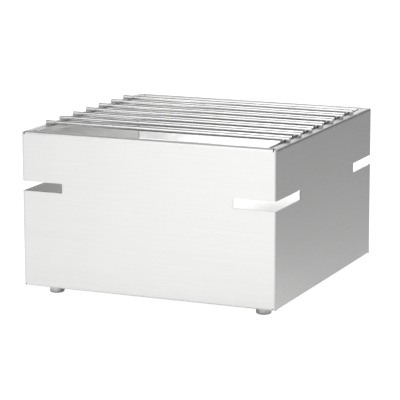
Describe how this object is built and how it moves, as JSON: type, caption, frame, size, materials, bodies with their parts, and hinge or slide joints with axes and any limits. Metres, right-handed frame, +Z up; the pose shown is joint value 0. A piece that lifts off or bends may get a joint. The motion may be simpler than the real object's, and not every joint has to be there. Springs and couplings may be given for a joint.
{
  "type": "fire pit with grate",
  "caption": "Square tabletop fire pit of folded steel sheet with wrap-round corner slots, small feet, a lift-off grate of round rods, and a fuel cup with a swinging damper lid.",
  "frame": {"origin": "on the floor under the middle of the housing", "axes": "+Z up, -Y towards the front wall, +X towards the right wall; the grate's rods run along X"},
  "size_m": [0.305, 0.305, 0.1931],
  "materials": {
    "brushed_steel": "fine satin grain along each wall",
    "polished_steel": "bright drawn round bar",
    "foot_steel": "turned and polished",
    "cup_steel": "spun satin",
    "mill_steel": "plain mill finish",
    "fastener_steel": "stainless fastener",
    "rubber": "matt black",
    "black_phenolic": "satin black"
  },
  "bodies": {
    "housing": {"shell_front_right": "brushed_steel", "shell_back_left": "brushed_steel", "base_plate": "mill_steel", "foot_front_left": "foot_steel", "foot_pad_front_left": "rubber", "foot_washer_front_left": "fastener_steel", "foot_screw_front_left": "fastener_steel", "foot_front_right": "foot_steel", "foot_pad_front_right": "rubber", "foot_washer_front_right": "fastener_steel", "foot_screw_front_right": "fastener_steel", "foot_back_left": "foot_steel", "foot_pad_back_left": "rubber", "foot_washer_back_left": "fastener_steel", "foot_screw_back_left": "fastener_steel", "foot_back_right": "foot_steel", "foot_pad_back_right": "rubber", "foot_washer_back_right": "fastener_steel", "foot_screw_back_right": "fastener_steel", "cup_ring": "mill_steel"},
    "grate": {"grate_rod_1": "polished_steel", "grate_rod_2": "polished_steel", "grate_rod_3": "polished_steel", "grate_rod_4": "polished_steel", "grate_rod_5": "polished_steel", "grate_rod_6": "polished_steel", "grate_rod_7": "polished_steel", "grate_cross_bar_left": "polished_steel", "grate_cross_bar_right": "polished_steel"},
    "fuel_cup": {"fuel_cup": "cup_steel", "pivot_bracket": "mill_steel", "pivot_rivet": "fastener_steel", "pivot_spacer": "fastener_steel"},
    "damper_lid": {"damper_lid": "cup_steel", "lid_knob": "black_phenolic"}
  },
  "joints": [
    {"name": "grate_lift", "type": "slide", "parent": "housing", "child": "grate", "axis": [0, 0, 1], "range_m": [0, 0.08]},
    {"name": "fuel_cup_lift", "type": "slide", "parent": "housing", "child": "fuel_cup", "axis": [0, 0, 1], "range_m": [0, 0.08]},
    {"name": "damper_lid_swing", "type": "hinge", "parent": "fuel_cup", "child": "damper_lid", "pos_m": [0.055, 0, 0.0639], "axis": [0, 0, 1], "range_deg": [0, 110]}
  ]
}
